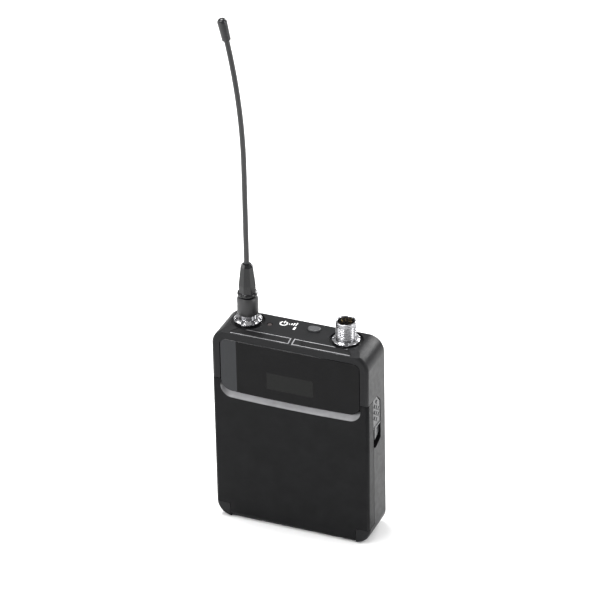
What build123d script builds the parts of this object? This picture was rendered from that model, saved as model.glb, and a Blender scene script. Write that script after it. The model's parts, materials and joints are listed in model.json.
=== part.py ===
"""Wireless bodypack transmitter: metal case, hinged battery door, whip antenna and belt clip.

Millimetres. The pack stands on its flat bottom: +Z is up, the display faces -Y and +X is to the
right of a person facing the display. The origin is the middle of the bottom face.
"""
from build123d import *
import math
import os

os.makedirs("parts", exist_ok=True)

# ---- driving dimensions ----
WIDTH = 64.0
HEIGHT = 84.0
DEPTH = 19.0
CORNER_R = 6.5            # corners of the front view
FRONT_ROUND = 1.3         # edge between the front face and the sides
REAR_ROUND = 2.4
SIDE_WALL = 1.6
FRAME_WALL = 2.6          # front wall round the display
DOOR_WALL = 1.6
TOP_WALL = 1.8
BACK_WALL = 1.9
SEAM_GAP = 0.2            # gap round the battery door

FRONT = -DEPTH / 2
BACK = DEPTH / 2
BACK_SEAM = BACK - BACK_WALL
SIDE = WIDTH / 2

# battery door
DOOR_TOP = 62.4           # height of the seam between frame and door
DOOR_SPLIT = -4.3         # the door's side walls reach back to here
HINGE_Y = -7.0
HINGE_Z = 2.5
BARREL_R = 2.5
BARREL_HALF = 26.0
CORNER_CLEAR_R = 4.7      # the door's lower corners end on this radius about the hinge
PIN_R = 0.8
PIN_BORE_R = 0.85
PIN_HALF = 29.5

# display window
WINDOW_HALF = 28.6
WINDOW_TOP = 80.4
WINDOW_END_Z = 57.8       # lower edge at its two ends
WINDOW_MID_Z = 57.2       # lower edge at its middle
WINDOW_TOP_R = 2.6
WINDOW_LOW_R = 4.6
WINDOW_LEDGE = 0.8        # ledge of the case that the window rests on, behind the door's lip
WINDOW_FACE = FRONT + 0.15
WINDOW_THICK = 1.25
GASKET_THICK = 0.35
WINDOW_SEAT_Y = WINDOW_FACE + WINDOW_THICK + GASKET_THICK
BEVEL_DROP = 2.7          # height of the bevel under the window
BEVEL_DEPTH = 1.0

# side catches, each in a slot that is open towards the door
CATCH_TOP = DOOR_TOP
CATCH_LOW = 40.4
CATCH_FRONT = -3.9
CATCH_REAR = 3.0
CATCH_CROWN_Y = -0.3      # the slot's level top ends here, and a slant goes down to its rear edge
CATCH_CROWN_DROP = 3.2
CATCH_TOE_Y = -2.0        # lowest point of the slot
CATCH_TRAVEL = 2.0
CATCH_GAP = 0.3
GRIP_LOW = 49.1
GRIP_FACE = 31.8
TAB_FACE = 31.2
TAB_FRONT = -1.2          # the tab under the grip is narrower than the grip
PLATE_LOW, PLATE_HIGH = 49.9, 59.8        # guide plate behind the side wall
PLATE_REAR = 4.6
PLATE_IN, PLATE_OUT = 29.05, 30.15
GRIP_ROOT = 30.1
RIDGE_HEIGHT = 0.3        # the thumb bumps and the ridge stand this far off the grip
BUMP_R = 1.05
BUMP_COLUMNS = {-2.3: (58.7, 56.1, 53.5), -0.5: (60.0, 57.4, 54.8, 52.2), 1.3: (56.1, 53.5)}
RAIL_IN, RAIL_OUT = 28.0, 30.5            # rail in the case that the guide plate slides in
RAIL_LIP = 28.85
SPRING_SEAT_Z = 46.0
CATCH_SPRING_Y = 3.7
CATCH_SPRING_X = 29.6
CATCH_SPRING_R = 0.6
CATCH_SPRING_HEIGHT = 3.4
CATCH_WIRE_R = 0.14

# top face
ANTENNA_X = -21.0
CONNECTOR_X = 19.2
PORT_Y = 1.0              # the antenna and the connector stand on this line
RECESS_R = 6.6
RECESS_DEPTH = 1.0
LED_X, LED_Y = -12.2, 1.2
LED_R = 1.1
BUTTON_X, BUTTON_Y = 5.2, 3.4
BUTTON_LENGTH, BUTTON_WIDTH = 5.2, 3.6
BUTTON_GAP = 0.1
TRIM_BACK_Y = -5.1
TRIM_FRONT_Y = -8.7
TRIM_RIB = 0.5            # half the width of the rib between the two strips
TRIM_DEPTH = 0.45
SHOULDER_Y = -4.6         # the top slopes down to the front from here
SHOULDER_DROP = 0.9

# antenna
JACK_R = 3.0
JACK_TOP = 91.0
ANTENNA_NUT_R = 5.4
ANTENNA_NUT_TOP = 86.0
SLEEVE_R = 4.1
SLEEVE_LOW = 87.4
SLEEVE_TOP = 94.9
COLLAR_TOP = 97.0
BOOT_R = 3.5
BOOT_SHOULDER = 100.2
BOOT_TOP_R = 2.55
BOOT_TOP = 107.8
BOOT_CROWN = 108.9
WHIP_R = 1.05
WHIP_FOOT = 104.0
WHIP_BEND_Z = 149.5       # the whip is straight up to here
WHIP_BEND_R = 255.0
WHIP_BEND_ANGLE = 12.5
WHIP_END_RUN = 3.5
TIP_R = 1.95
TIP_LENGTH = 8.8
TIP_OVERLAP = 6.0         # how far the whip goes into its cap

# microphone connector
SHELL_R = 4.0
SHELL_BORE_R = 3.3
SHELL_LOW = 78.5
SHELL_TOP = 92.3
RELIEF_LOW, RELIEF_HIGH = 84.9, 85.5      # undercut between the nut and the thread
RELIEF_R = 3.75
CONNECTOR_NUT_R = 5.4
CONNECTOR_NUT_TOP = 84.9
INSERT_LOW, INSERT_TOP = 79.0, 87.2
CONTACT_LOW, CONTACT_TOP = 78.0, 89.2
CONTACT_R = 0.45
CONTACT_RING_R = 1.75

# inside
CELL_R = 7.25
CELL_LENGTH = 50.5
CELL_NUB_R = 2.75
CELL_NUB = 1.2
CELL_X = (-17.6, -2.6)
CELL_Y = -0.3
TRAY_LEFT, TRAY_RIGHT = -25.6, 5.4
TRAY_WALL = 0.65
TRAY_LOW, TRAY_HIGH = 3.4, 58.1
TRAY_END_WALL = 0.8
TRAY_FRONT, TRAY_BACK = -3.8, 7.5
PCB_Y = 0.0
PCB_THICK = 1.2
PANEL_Y = -6.6
PANEL_THICK = 1.2
PANEL_LEFT, PANEL_RIGHT = 6.0, 27.4
PANEL_LOW, PANEL_HIGH = 8.0, 56.0
KEY_X = 16.5
KEY_HEIGHTS = {"key_up": 47.0, "key_down": 37.0, "key_set": 27.0}
TOP_BOARD_Z = 78.0
BOSS_X = 28.4
BOSS_HEIGHTS = (9.5, 78.6)
BOSS_R = 2.3
BOSS_FRONT = 0.5
SCREW_R = 0.95
LCD_Z = 65.2
BAY_LOW = TRAY_LOW + TRAY_END_WALL
BAY_HIGH = TRAY_HIGH - TRAY_END_WALL
SPRING_HEIGHT = 2.2
SPRING_WIRE_R = 0.25
CONTACT_THICK = 0.4

# belt clip
CLIP_PIVOT_Y = 12.6
CLIP_PIVOT_Z = 68.0
CLIP_HALF = 7.0
CLIP_SHEET = 1.0
CLIP_GAP = 4.4            # between the back of the pack and the blade
CLIP_LOW = 17.0
CLIP_SCREW_X = 4.5
CLIP_SCREW_Z = 74.5
EAR_INNER = CLIP_HALF + 0.25
EAR_OUTER = EAR_INNER + 1.2
EAR_TIP_Y = CLIP_PIVOT_Y + 1.8
BLADE_IN = BACK + CLIP_GAP


def front_plane(y):
    """A drawing plane seen from the front, at depth y. Extruding by a positive amount goes forward."""
    return Plane(origin=(0, y, 0), x_dir=(1, 0, 0), z_dir=(0, -1, 0))


def side_plane(x):
    """A drawing plane across the pack at x: its first axis is Y, its second Z, and it extrudes to +X."""
    return Plane(origin=(x, 0, 0), x_dir=(0, 1, 0), z_dir=(1, 0, 0))


def block(x, y, z):
    """A plain block from three (low, high) pairs."""
    centre = ((x[0] + x[1]) / 2, (y[0] + y[1]) / 2, (z[0] + z[1]) / 2)
    return Pos(*centre) * Box(x[1] - x[0], y[1] - y[0], z[1] - z[0], mode=Mode.PRIVATE)


def rod(x, y, z_low, z_high, radius):
    """An upright round bar."""
    return Pos(x, y, (z_low + z_high) / 2) * Cylinder(radius, z_high - z_low, mode=Mode.PRIVATE)


def rod_x(x_low, x_high, y, z, radius):
    """A round bar that lies along X."""
    bar = Cylinder(radius, x_high - x_low, mode=Mode.PRIVATE)
    return Pos((x_low + x_high) / 2, y, z) * Rot(0, 90, 0) * bar


def rod_y(x, y_low, y_high, z, radius):
    """A round bar that lies along Y."""
    bar = Cylinder(radius, y_high - y_low, mode=Mode.PRIVATE)
    return Pos(x, (y_low + y_high) / 2, z) * Rot(90, 0, 0) * bar


def save(part, name):
    part.label = name
    export_step(part, f"parts/{name}.step")


# ---- outlines shared by several pieces ----
def window_outline(grow, y, depth, drop=0.0):
    """The display window's outline, grown all round, as a solid from y forward by depth.

    With a drop the solid slants down as it comes forward, which is how the bevel is cut.
    """
    half = WINDOW_HALF + grow
    top = WINDOW_TOP + grow
    end = WINDOW_END_Z - grow
    middle = WINDOW_MID_Z - grow
    with BuildPart() as solid:
        with BuildSketch(front_plane(y)) as outline:
            with BuildLine():
                Polyline((-half, end), (-half, top), (half, top), (half, end))
                ThreePointArc((-half, end), (0, middle), (half, end))
            make_face()
            fillet(outline.vertices().group_by(Axis.Y)[-1], WINDOW_TOP_R + grow)
            fillet(outline.vertices().group_by(Axis.Y)[0], WINDOW_LOW_R + grow)
        run = math.hypot(depth, drop)
        extrude(amount=run, dir=(0, -depth, -drop))
    return solid.part


def slot_outline(gap, front, x, thickness):
    """The catch's slot from its front edge back, shrunk by gap, as a solid from x to x + thickness."""
    top = CATCH_TOP - gap
    low = CATCH_LOW + gap
    rear = CATCH_REAR - gap
    with BuildPart() as solid:
        with BuildSketch(side_plane(x)):
            with BuildLine():
                Polyline(
                    (front, low + 1.0),
                    (front, top),
                    (CATCH_CROWN_Y, top),
                    (rear, top - CATCH_CROWN_DROP),
                    (rear, low + 1.9),
                    (CATCH_TOE_Y, low),
                    close=True,
                )
            slot = make_face()
            fillet(slot.vertices(), 0.4)
        extrude(amount=thickness)
    return solid.part


def trim_outline(gap, low, high):
    """The two trim strips' outline, shrunk by gap, between two heights above the sloping shoulder."""
    with BuildPart() as strips:
        for side in (-1, 1):
            with BuildSketch(Plane.XY.offset(HEIGHT - 3)):
                with BuildLine():
                    Polyline(
                        (side * (TRIM_RIB + gap), TRIM_FRONT_Y + gap),
                        (side * (25.6 - 2 * gap), TRIM_FRONT_Y + gap),
                        (side * (22.2 - gap), TRIM_BACK_Y - gap),
                        (side * (TRIM_RIB + gap), TRIM_BACK_Y - gap),
                        close=True,
                    )
                strip = make_face()
                fillet(strip.vertices().filter_by(lambda v: abs(v.X) > 5), 0.7)
            extrude(amount=4)
        add(shoulder_slab(low, high), mode=Mode.INTERSECT)
    return strips.part


def shoulder_slab(low, high):
    """A sloping slab over the whole width, from low to high above the shoulder."""
    ahead = FRONT - 1
    slope = SHOULDER_DROP / (SHOULDER_Y - FRONT)
    ahead_z = HEIGHT - slope * (SHOULDER_Y - ahead)
    with BuildPart() as slab:
        with BuildSketch(side_plane(-SIDE - 1)):
            with BuildLine():
                Polyline(
                    (SHOULDER_Y, HEIGHT + low),
                    (ahead, ahead_z + low),
                    (ahead, ahead_z + high),
                    (SHOULDER_Y, HEIGHT + high),
                    close=True,
                )
            make_face()
        extrude(amount=WIDTH + 2)
    return slab.part


def door_zone(gap):
    """The space that the battery door takes out of the case, grown by gap.

    Its lower rear edge is an arc about the hinge, so the door turns without touching the case.
    """
    radius = CORNER_CLEAR_R - gap
    outside = FRONT - 3.0
    with BuildPart() as zone:
        with BuildSketch(side_plane(-SIDE - 1)):
            with BuildLine():
                Line((outside, DOOR_TOP + gap), (DOOR_SPLIT + gap, DOOR_TOP + gap))
                Line((DOOR_SPLIT + gap, DOOR_TOP + gap), (DOOR_SPLIT + gap, HINGE_Z + radius))
                Line((DOOR_SPLIT + gap, HINGE_Z + radius), (HINGE_Y, HINGE_Z + radius))
                slant = radius * math.sqrt(0.5)
                ThreePointArc(
                    (HINGE_Y, HINGE_Z + radius),
                    (HINGE_Y - slant, HINGE_Z + slant),
                    (HINGE_Y - radius, HINGE_Z),
                )
                Line((HINGE_Y - radius, HINGE_Z), (outside, HINGE_Z))
                Line((outside, HINGE_Z), (outside, DOOR_TOP + gap))
            make_face()
        extrude(amount=WIDTH + 2)
        add(block((-BARREL_HALF - gap, BARREL_HALF + gap), (outside, HINGE_Y), (HINGE_Z, HINGE_Z + 6)))
        add(rod_x(-BARREL_HALF - gap, BARREL_HALF + gap, HINGE_Y, HINGE_Z, BARREL_R + gap))
        if gap > 0:
            corner = block(
                (-BARREL_HALF - gap, BARREL_HALF + gap),
                (outside, HINGE_Y),
                (-1, HINGE_Z),
            )
            add(corner)
    return zone.part


with BuildPart() as envelope:
    with BuildSketch(front_plane(BACK)):
        with Locations((0, HEIGHT / 2)):
            RectangleRounded(WIDTH, HEIGHT, CORNER_R)
    extrude(amount=DEPTH)
    fillet(envelope.faces().sort_by(Axis.Y)[0].edges(), FRONT_ROUND)
    fillet(envelope.faces().sort_by(Axis.Y)[-1].edges(), REAR_ROUND)
    add(shoulder_slab(0, 3), mode=Mode.SUBTRACT)

with BuildPart() as hollow:
    with BuildSketch(front_plane(BACK + 1)):
        with Locations((0, (HEIGHT - TOP_WALL + SIDE_WALL) / 2)):
            RectangleRounded(
                WIDTH - 2 * SIDE_WALL, HEIGHT - TOP_WALL - SIDE_WALL, CORNER_R - SIDE_WALL
            )
    extrude(amount=BACK + 1 - (FRONT + DOOR_WALL))

# The frame round the display is thicker than the door, so the hollow stops short there.
frame_backing = block((-SIDE, SIDE), (FRONT, FRONT + FRAME_WALL), (WINDOW_MID_Z - WINDOW_LEDGE, HEIGHT))

# ---- main case ----
bosses = [
    rod_y(side * BOSS_X, BOSS_FRONT, BACK_SEAM, z, BOSS_R) for side in (-1, 1) for z in BOSS_HEIGHTS
]
boss_bores = [
    rod_y(side * BOSS_X, BOSS_FRONT + 1, BACK_SEAM + 1, z, SCREW_R) for side in (-1, 1) for z in BOSS_HEIGHTS
]
hinge_blocks = [
    block(sorted((side * (BARREL_HALF + SEAM_GAP), side * SIDE)), (FRONT, -4.0), (0, HINGE_Z + 4.5))
    & envelope.part
    for side in (-1, 1)
]
case_door_zone = door_zone(SEAM_GAP) - window_outline(WINDOW_LEDGE, 0, -WINDOW_SEAT_Y)
window_seat = window_outline(0.1, WINDOW_SEAT_Y, 3)
window_opening = window_outline(-1.6, 0, 20)
catch_slots = [slot_outline(0, DOOR_SPLIT - 0.1, x, 4) for x in (-SIDE - 1, SIDE - 3)]
trim_groove = trim_outline(0, -TRIM_DEPTH, 2)

with BuildPart() as main_case:
    add(envelope.part)
    add(hollow.part - frame_backing, mode=Mode.SUBTRACT)
    add(bosses)
    add(hinge_blocks)
    add(case_door_zone, mode=Mode.SUBTRACT)
    add(block((-SIDE - 1, SIDE + 1), (BACK_SEAM, BACK + 1), (-1, HEIGHT + 1)), mode=Mode.SUBTRACT)
    # window seat and opening
    add(window_seat, mode=Mode.SUBTRACT)
    add(window_opening, mode=Mode.SUBTRACT)
    # recesses and holes in the top
    for x in (ANTENNA_X, CONNECTOR_X):
        add(rod(x, PORT_Y, HEIGHT - RECESS_DEPTH, HEIGHT + 1, RECESS_R), mode=Mode.SUBTRACT)
    add(rod(ANTENNA_X, PORT_Y, HEIGHT - 5, HEIGHT, JACK_R + 0.05), mode=Mode.SUBTRACT)
    add(rod(CONNECTOR_X, PORT_Y, HEIGHT - 5, HEIGHT, SHELL_R + 0.05), mode=Mode.SUBTRACT)
    add(rod(LED_X, LED_Y, HEIGHT - 5, HEIGHT + 1, LED_R + 0.05), mode=Mode.SUBTRACT)
    with BuildSketch(Plane.XY.offset(HEIGHT - 5)):
        with Locations((BUTTON_X, BUTTON_Y)):
            SlotOverall(BUTTON_LENGTH + 2 * BUTTON_GAP, BUTTON_WIDTH + 2 * BUTTON_GAP)
    extrude(amount=6, mode=Mode.SUBTRACT)
    add(trim_groove, mode=Mode.SUBTRACT)
    add(rod_x(-PIN_HALF, PIN_HALF, HINGE_Y, HINGE_Z, PIN_R), mode=Mode.SUBTRACT)
    add(catch_slots, mode=Mode.SUBTRACT)
    # seat of each catch spring, and the rail that keeps the catch against the wall
    for side in (-1, 1):
        spring_seat = block(
            sorted((side * 28.7, side * RAIL_OUT)),
            (CATCH_SPRING_Y - 0.9, CATCH_SPRING_Y + 0.9),
            (SPRING_SEAT_Z - 0.8, SPRING_SEAT_Z),
        )
        rail = block(
            sorted((side * RAIL_IN, side * RAIL_OUT)), (PLATE_REAR + 0.2, PLATE_REAR + 1.0), (45, 61)
        )
        lip = block(
            sorted((side * RAIL_IN, side * RAIL_LIP)), (PLATE_REAR - 1.6, PLATE_REAR + 0.9), (51, 61)
        )
        add([spring_seat, rail, lip])
    add(boss_bores, mode=Mode.SUBTRACT)
    # charging contact seats
    for x in (-7, 7):
        add(block((x - 2.5, x + 2.5), (0.5, 3.5), (-1, 2)), mode=Mode.SUBTRACT)
save(main_case.part, "main_case")

# ---- back cover and its screws ----
with BuildPart() as back_cover:
    add(envelope.part & block((-SIDE, SIDE), (BACK_SEAM, BACK), (0, HEIGHT)))
    for side in (-1, 1):
        for z in BOSS_HEIGHTS:
            add(rod_y(side * BOSS_X, BACK_SEAM - 1, BACK + 1, z, SCREW_R + 0.1), mode=Mode.SUBTRACT)
            add(rod_y(side * BOSS_X, BACK - 1.1, BACK + 1, z, 1.95), mode=Mode.SUBTRACT)
        add(rod_y(side * CLIP_SCREW_X, BACK_SEAM - 1, BACK + 1, CLIP_SCREW_Z, SCREW_R), mode=Mode.SUBTRACT)
    # shallow panel where a label would go
    with BuildSketch(front_plane(BACK + 0.5)):
        with Locations((0, 30)):
            RectangleRounded(44, 30, 2)
    extrude(amount=0.8, mode=Mode.SUBTRACT)
save(back_cover.part, "back_cover")


def pan_screw(x, z, head_low, length):
    """A screw along Y whose head starts at head_low and whose shank runs into the pack."""
    head = rod_y(x, head_low, head_low + 0.9, z, 1.75)
    head = chamfer(head.edges().group_by(Axis.Y)[-1], 0.3)
    shank = rod_y(x, head_low - length, head_low, z, SCREW_R)
    cross = Box(2.2, 0.8, 0.45) + Box(0.45, 0.8, 2.2)
    return (head + shank) - Pos(x, head_low + 0.8, z) * cross


cover_screws = [pan_screw(side * BOSS_X, z, BACK - 1.1, 5.5) for side in (-1, 1) for z in BOSS_HEIGHTS]
with BuildPart() as case_screws:
    add(cover_screws)
save(case_screws.part, "case_screws")

# ---- battery door ----
door_space = door_zone(0) - window_outline(SEAM_GAP, 0, 20)
bevel = window_outline(SEAM_GAP, FRONT + BEVEL_DEPTH, BEVEL_DEPTH * 2, BEVEL_DROP * 2)

with BuildPart() as battery_door:
    add(envelope.part - hollow.part)
    add(rod_x(-BARREL_HALF, BARREL_HALF, HINGE_Y, HINGE_Z, BARREL_R))
    add(door_space, mode=Mode.INTERSECT)
    add(bevel, mode=Mode.SUBTRACT)
    # stiffening ribs behind the front
    for x in (-9, 9):
        add(block((x - 0.4, x + 0.4), (FRONT + DOOR_WALL - 0.1, FRONT + DOOR_WALL + 0.35), (12, 52)))
    add(rod_x(-SIDE, SIDE, HINGE_Y, HINGE_Z, PIN_BORE_R), mode=Mode.SUBTRACT)
save(battery_door.part, "battery_door")

with BuildPart() as door_hinge_pin:
    add(rod_x(-PIN_HALF, PIN_HALF, HINGE_Y, HINGE_Z, PIN_R))
save(door_hinge_pin.part, "door_hinge_pin")

# ---- side catches ----
for side, name in ((-1, "catch_left"), (1, "catch_right")):
    grip_in = min(side * GRIP_ROOT, side * GRIP_FACE)
    grip = slot_outline(CATCH_GAP, CATCH_FRONT, grip_in, GRIP_FACE - GRIP_ROOT)
    tab_in = min(side * GRIP_ROOT, side * TAB_FACE)
    tab = Pos(0, 0, CATCH_TRAVEL) * slot_outline(CATCH_GAP, CATCH_FRONT, tab_in, TAB_FACE - GRIP_ROOT)
    with BuildPart() as catch:
        # guide plate behind the wall
        plate_x = sorted((side * PLATE_IN, side * PLATE_OUT))
        add(block(plate_x, (CATCH_FRONT, PLATE_REAR), (PLATE_LOW, PLATE_HIGH)))
        # grip that fills the upper part of the slot, and the narrower tab under it
        add(grip & block((-SIDE, SIDE), (-6, 6), (GRIP_LOW, HEIGHT)))
        add(tab & block((-SIDE, SIDE), (TAB_FRONT, 6), (0, GRIP_LOW + 1)))
        # diamond bumps for the thumb
        with BuildSketch(Plane(origin=(side * GRIP_FACE, 0, 0), x_dir=(0, side, 0), z_dir=(side, 0, 0))):
            for y, heights in BUMP_COLUMNS.items():
                with Locations([(side * y, z) for z in heights]):
                    RegularPolygon(BUMP_R, 4)
        extrude(amount=RIDGE_HEIGHT, taper=30)
        # ridge along the lower edge of the grip
        ridge_x = sorted((side * (GRIP_FACE - 0.1), side * (GRIP_FACE + RIDGE_HEIGHT)))
        add(block(ridge_x, (-3.2, 2.3), (GRIP_LOW + 0.1, GRIP_LOW + 0.75)))
    save(catch.part, name)

for side, name in ((-1, "catch_spring_left"), (1, "catch_spring_right")):
    with BuildPart() as catch_spring:
        foot = (side * CATCH_SPRING_X, CATCH_SPRING_Y, SPRING_SEAT_Z + CATCH_WIRE_R + 0.04)
        with BuildLine():
            path = Helix(pitch=0.9, height=CATCH_SPRING_HEIGHT, radius=CATCH_SPRING_R, center=foot)
        with BuildSketch(Plane(origin=path @ 0, z_dir=path % 0)):
            Circle(CATCH_WIRE_R)
        sweep(is_frenet=True)
    save(catch_spring.part, name)

# ---- display ----
window_pane = window_outline(0, WINDOW_FACE + WINDOW_THICK, WINDOW_THICK)
with BuildPart() as display_window:
    add(window_pane)
    chamfer(display_window.faces().sort_by(Axis.Y)[0].edges(), 0.25)
save(display_window.part, "display_window")

gasket_sheet = window_outline(-0.2, WINDOW_SEAT_Y, GASKET_THICK)
gasket_opening = window_outline(-1.4, 0, 20)
with BuildPart() as window_gasket:
    add(gasket_sheet - gasket_opening)
save(window_gasket.part, "window_gasket")

with BuildPart() as lcd_frame:
    add(block((-14, 14), (-7.1, -4.6), (LCD_Z - 5.9, LCD_Z + 5.9)))
    add(block((-11.6, 11.6), (-8, -6.2), (LCD_Z - 4.4, LCD_Z + 4.4)), mode=Mode.SUBTRACT)
    for x in (-11, 11):
        add(block((x - 1.2, x + 1.2), (-4.6, PCB_Y), (LCD_Z - 5, LCD_Z + 5)))
save(lcd_frame.part, "lcd_frame")

with BuildPart() as lcd_glass:
    add(block((-11.5, 11.5), (-7.0, -6.2), (LCD_Z - 4.3, LCD_Z + 4.3)))
save(lcd_glass.part, "lcd_glass")

with BuildPart() as infrared_sensor:
    add(block((-26, -21), (-6.4, PCB_Y), (64, 70)))
    with Locations((-23.5, -6.2, 67)):
        Sphere(1.7)
save(infrared_sensor.part, "infrared_sensor")

# ---- top trim, LED and button ----
port_clearance = [rod(x, PORT_Y, HEIGHT - 3, HEIGHT + 1, RECESS_R + 0.1) for x in (ANTENNA_X, CONNECTOR_X)]
with BuildPart() as shoulder_trim:
    add(trim_outline(0.05, -TRIM_DEPTH, -0.12))
    add(port_clearance, mode=Mode.SUBTRACT)
save(shoulder_trim.part, "shoulder_trim")

with BuildPart() as status_led:
    add(rod(LED_X, LED_Y, TOP_BOARD_Z + 1, HEIGHT - 0.1, LED_R))
    add(rod(LED_X, LED_Y, TOP_BOARD_Z + 1, HEIGHT - 2.2, LED_R + 0.5))
    chamfer(status_led.edges().group_by(Axis.Z)[-1], 0.3)
save(status_led.part, "status_led")

with BuildPart() as power_mute_button:
    with BuildSketch(Plane.XY.offset(HEIGHT - TOP_WALL - 0.3)):
        with Locations((BUTTON_X, BUTTON_Y)):
            SlotOverall(BUTTON_LENGTH, BUTTON_WIDTH)
    extrude(amount=TOP_WALL + 1.0)
    fillet(power_mute_button.edges().group_by(Axis.Z)[-1], 0.45)
    with BuildSketch(Plane.XY.offset(HEIGHT - TOP_WALL - 1.1)):
        with Locations((BUTTON_X, BUTTON_Y)):
            SlotOverall(BUTTON_LENGTH + 1.6, BUTTON_WIDTH + 1.4)
    extrude(amount=0.8)
    add(rod(BUTTON_X, BUTTON_Y, HEIGHT - TOP_WALL - 1.4, HEIGHT - TOP_WALL - 1.0, 1.0))
save(power_mute_button.part, "power_mute_button")

with BuildPart() as top_board:
    add(block((-15, 10), (-3.4, 6.6), (TOP_BOARD_Z, TOP_BOARD_Z + 0.8)))
save(top_board.part, "top_board")

with BuildPart() as power_switch:
    add(block((BUTTON_X - 2, BUTTON_X + 2), (BUTTON_Y - 2, BUTTON_Y + 2), (TOP_BOARD_Z + 0.8, 79.9)))
    add(rod(BUTTON_X, BUTTON_Y, 79.9, 80.2, 0.9))
save(power_switch.part, "power_switch")

# ---- antenna ----
with BuildPart() as antenna_jack:
    add(rod(ANTENNA_X, PORT_Y, 78.5, JACK_TOP, JACK_R))
    add(rod(ANTENNA_X, PORT_Y, 80.4, HEIGHT - TOP_WALL, JACK_R + 1.4))
    chamfer(antenna_jack.edges().group_by(Axis.Z)[-1], 0.4)
save(antenna_jack.part, "antenna_jack")

with BuildPart() as antenna_nut:
    add(rod(ANTENNA_X, PORT_Y, HEIGHT - RECESS_DEPTH, ANTENNA_NUT_TOP, ANTENNA_NUT_R))
    chamfer(antenna_nut.edges().group_by(Axis.Z)[-1], 0.9)
    # spanner notches round the top
    for turn in range(0, 360, 45):
        spot = Pos(ANTENNA_X, PORT_Y, ANTENNA_NUT_TOP) * Rot(0, 0, turn) * Pos(ANTENNA_NUT_R - 0.4, 0, 0)
        add(spot * Box(1.8, 1.3, 2.2, mode=Mode.PRIVATE), mode=Mode.SUBTRACT)
    add(rod(ANTENNA_X, PORT_Y, HEIGHT - 2, ANTENNA_NUT_TOP + 1, JACK_R + 0.02), mode=Mode.SUBTRACT)
save(antenna_nut.part, "antenna_nut")

with BuildPart() as antenna_sleeve:
    with BuildSketch(Plane.XZ.offset(-PORT_Y)):
        with BuildLine():
            Polyline(
                (ANTENNA_X, SLEEVE_LOW),
                (ANTENNA_X + SLEEVE_R - 0.4, SLEEVE_LOW),
                (ANTENNA_X + SLEEVE_R, SLEEVE_LOW + 0.4),
                (ANTENNA_X + SLEEVE_R, SLEEVE_TOP - 1.0),
                (ANTENNA_X + SLEEVE_R - 0.5, SLEEVE_TOP),
                (ANTENNA_X, SLEEVE_TOP),
                close=True,
            )
        make_face()
    revolve(axis=Axis((ANTENNA_X, PORT_Y, 0), (0, 0, 1)))
    add(rod(ANTENNA_X, PORT_Y, SLEEVE_LOW - 1, JACK_TOP + 0.4, JACK_R + 0.05), mode=Mode.SUBTRACT)
save(antenna_sleeve.part, "antenna_sleeve")

with BuildPart() as antenna_boot:
    # rounded collar between the sleeve and the flats
    with BuildSketch(Plane.XZ.offset(-PORT_Y)):
        with BuildLine():
            Polyline(
                (ANTENNA_X + 3.0, SLEEVE_TOP + 0.3),
                (ANTENNA_X, SLEEVE_TOP + 0.3),
                (ANTENNA_X, COLLAR_TOP),
                (ANTENNA_X + 3.1, COLLAR_TOP),
            )
            ThreePointArc(
                (ANTENNA_X + 3.1, COLLAR_TOP),
                (ANTENNA_X + 3.95, (COLLAR_TOP + SLEEVE_TOP) / 2),
                (ANTENNA_X + 3.0, SLEEVE_TOP + 0.3),
            )
        make_face()
    revolve(axis=Axis((ANTENNA_X, PORT_Y, 0), (0, 0, 1)))
    add(rod(ANTENNA_X, PORT_Y, SLEEVE_TOP, COLLAR_TOP, 2.8))
    # eight flats, upright and then tapering
    with BuildSketch(Plane.XY.offset(COLLAR_TOP - 0.4)):
        with Locations((ANTENNA_X, PORT_Y)):
            RegularPolygon(BOOT_R, 8)
    extrude(amount=BOOT_SHOULDER - COLLAR_TOP + 0.4)
    with BuildSketch(Plane.XY.offset(BOOT_SHOULDER)):
        with Locations((ANTENNA_X, PORT_Y)):
            RegularPolygon(BOOT_R, 8)
    with BuildSketch(Plane.XY.offset(BOOT_TOP)):
        with Locations((ANTENNA_X, PORT_Y)):
            RegularPolygon(BOOT_TOP_R, 8)
    loft()
    with BuildSketch(Plane.XY.offset(BOOT_TOP)):
        with Locations((ANTENNA_X, PORT_Y)):
            RegularPolygon(BOOT_TOP_R, 8)
    extrude(amount=BOOT_CROWN - BOOT_TOP, taper=35)
    add(rod(ANTENNA_X, PORT_Y, WHIP_FOOT, BOOT_CROWN + 1, WHIP_R + 0.01), mode=Mode.SUBTRACT)
save(antenna_boot.part, "antenna_boot")

with BuildPart() as antenna_whip:
    with BuildLine(Plane.XZ.offset(-PORT_Y)):
        upright = Line((ANTENNA_X, WHIP_FOOT), (ANTENNA_X, WHIP_BEND_Z))
        bend = JernArc(start=upright @ 1, tangent=upright % 1, radius=WHIP_BEND_R, arc_size=WHIP_BEND_ANGLE)
        end_run = Line(bend @ 1, (bend @ 1) + (bend % 1) * WHIP_END_RUN)
    with BuildSketch(Plane.XY.offset(WHIP_FOOT)):
        with Locations((ANTENNA_X, PORT_Y)):
            Circle(WHIP_R)
    sweep()
save(antenna_whip.part, "antenna_whip")

whip_end = end_run @ 1
whip_direction = end_run % 1
tip_plane = Plane(origin=whip_end - whip_direction * TIP_OVERLAP, z_dir=whip_direction)
with BuildPart() as antenna_tip:
    with BuildSketch(tip_plane):
        Circle(TIP_R - 0.25)
    extrude(amount=TIP_LENGTH, taper=-1.6)
    fillet(antenna_tip.edges().sort_by(Axis.Z)[-1], 1.7)
    with BuildSketch(tip_plane):
        Circle(WHIP_R + 0.01)
    extrude(amount=TIP_OVERLAP, mode=Mode.SUBTRACT)
save(antenna_tip.part, "antenna_tip")

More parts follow.
